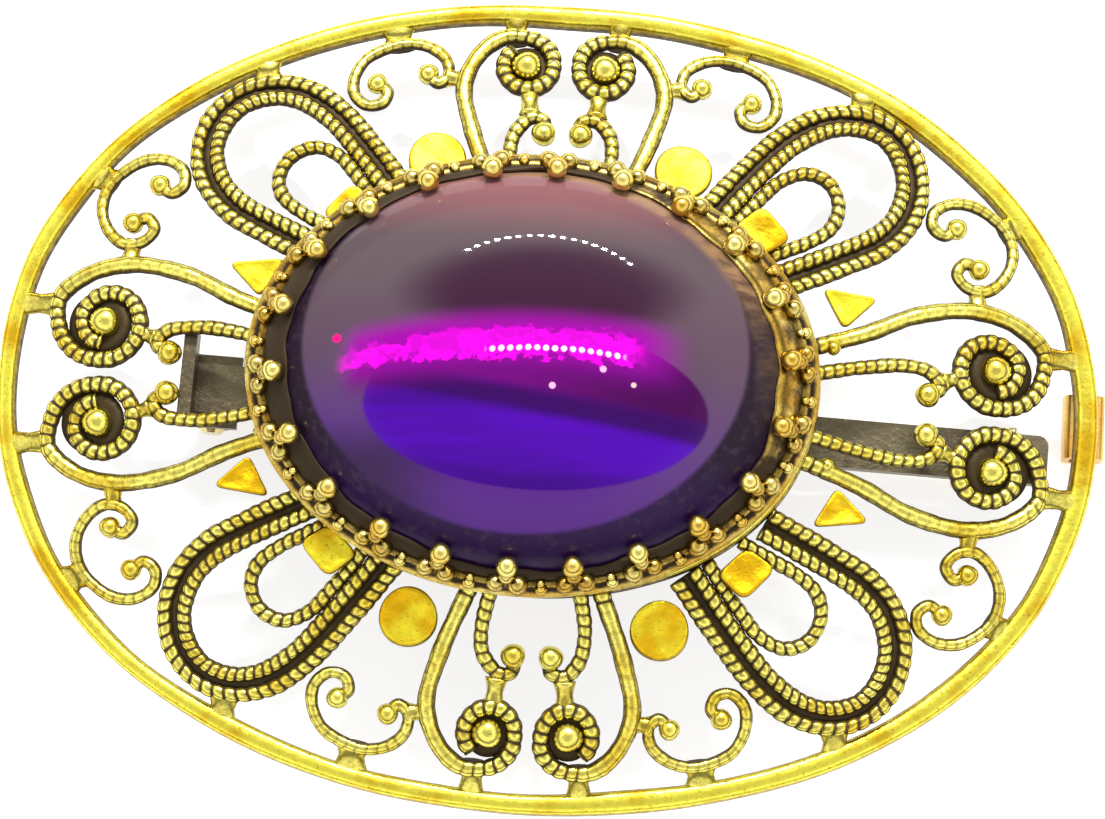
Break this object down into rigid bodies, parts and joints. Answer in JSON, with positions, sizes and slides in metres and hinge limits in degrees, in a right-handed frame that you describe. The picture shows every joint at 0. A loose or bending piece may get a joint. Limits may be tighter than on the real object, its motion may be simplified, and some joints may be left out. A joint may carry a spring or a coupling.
{
  "type": "brooch",
  "caption": "Oval domed filigree brooch with a foil-backed glass cabochon in a crown setting, and a bar pin with a roll-over catch.",
  "frame": {"origin": "Under the middle of the rim, level with the lowest point of the pin hardware, so z = 0 is the surface that the back touches.", "axes": "+X along the long axis to the catch end, +Y to the top edge, +Z out of the front, through the top of the stone."},
  "size_m": [0.052, 0.0386, 0.0114],
  "materials": {
    "antique_gold": "gilt, antiqued dark in the recesses",
    "polished_gold": "gilt, bright, lightly worn",
    "dark_brass": "tarnished, satin",
    "pin_wire": "gilt-washed spring wire",
    "violet_glass": "polished, violet",
    "foil": "bright metallic foil"
  },
  "bodies": {
    "brooch": {"rim": "polished_gold", "base_ring": "antique_gold", "corner_loop_upper_right": "antique_gold", "corner_loop_upper_left": "antique_gold", "corner_loop_lower_left": "antique_gold", "corner_loop_lower_right": "antique_gold", "inner_loop_upper_right": "antique_gold", "inner_loop_upper_left": "antique_gold", "inner_loop_lower_left": "antique_gold", "inner_loop_lower_right": "antique_gold", "side_volute_upper_right": "antique_gold", "side_volute_upper_left": "antique_gold", "side_volute_lower_left": "antique_gold", "side_volute_lower_right": "antique_gold", "crest_volute_upper_right": "antique_gold", "crest_volute_upper_left": "antique_gold", "crest_volute_lower_left": "antique_gold", "crest_volute_lower_right": "antique_gold", "side_scroll_upper_right": "antique_gold", "side_scroll_upper_left": "antique_gold", "side_scroll_lower_left": "antique_gold", "side_scroll_lower_right": "antique_gold", "crest_scroll_upper_right": "antique_gold", "crest_scroll_upper_left": "antique_gold", "crest_scroll_lower_left": "antique_gold", "crest_scroll_lower_right": "antique_gold", "side_c_scroll_upper_right": "antique_gold", "side_c_scroll_upper_left": "antique_gold", "side_c_scroll_lower_left": "antique_gold", "side_c_scroll_lower_right": "antique_gold", "crest_c_scroll_upper_right": "antique_gold", "crest_c_scroll_upper_left": "antique_gold", "crest_c_scroll_lower_left": "antique_gold", "crest_c_scroll_lower_right": "antique_gold", "disc_upper_right": "polished_gold", "disc_upper_left": "polished_gold", "disc_lower_left": "polished_gold", "disc_lower_right": "polished_gold", "triangle_upper_right": "polished_gold", "triangle_upper_left": "polished_gold", "triangle_lower_left": "polished_gold", "triangle_lower_right": "polished_gold", "leaf_upper_right": "polished_gold", "leaf_upper_left": "polished_gold", "leaf_lower_left": "polished_gold", "leaf_lower_right": "polished_gold", "crown_setting": "antique_gold", "foil_backing": "foil", "cabochon": "violet_glass", "pin_bar": "dark_brass", "hinge_end_bridge": "dark_brass", "hinge_bracket": "dark_brass", "hinge_rivet": "polished_gold", "catch_housing": "dark_brass", "pendant_bail": "polished_gold"},
    "pin": {"pin_stem": "pin_wire"},
    "catch": {"catch_barrel": "polished_gold"}
  },
  "joints": [
    {"name": "pin_hinge", "type": "hinge", "parent": "brooch", "child": "pin", "pos_m": [-0.01569, -0.00031, 0.00118], "axis": [0.0314, 0.9995, 0], "range_deg": [0, 80]},
    {"name": "catch_turn", "type": "hinge", "parent": "brooch", "child": "catch", "pos_m": [0.02069, -0.00145, 0.00118], "axis": [-0.9995, 0.0314, 0], "range_deg": [0, 90]}
  ]
}
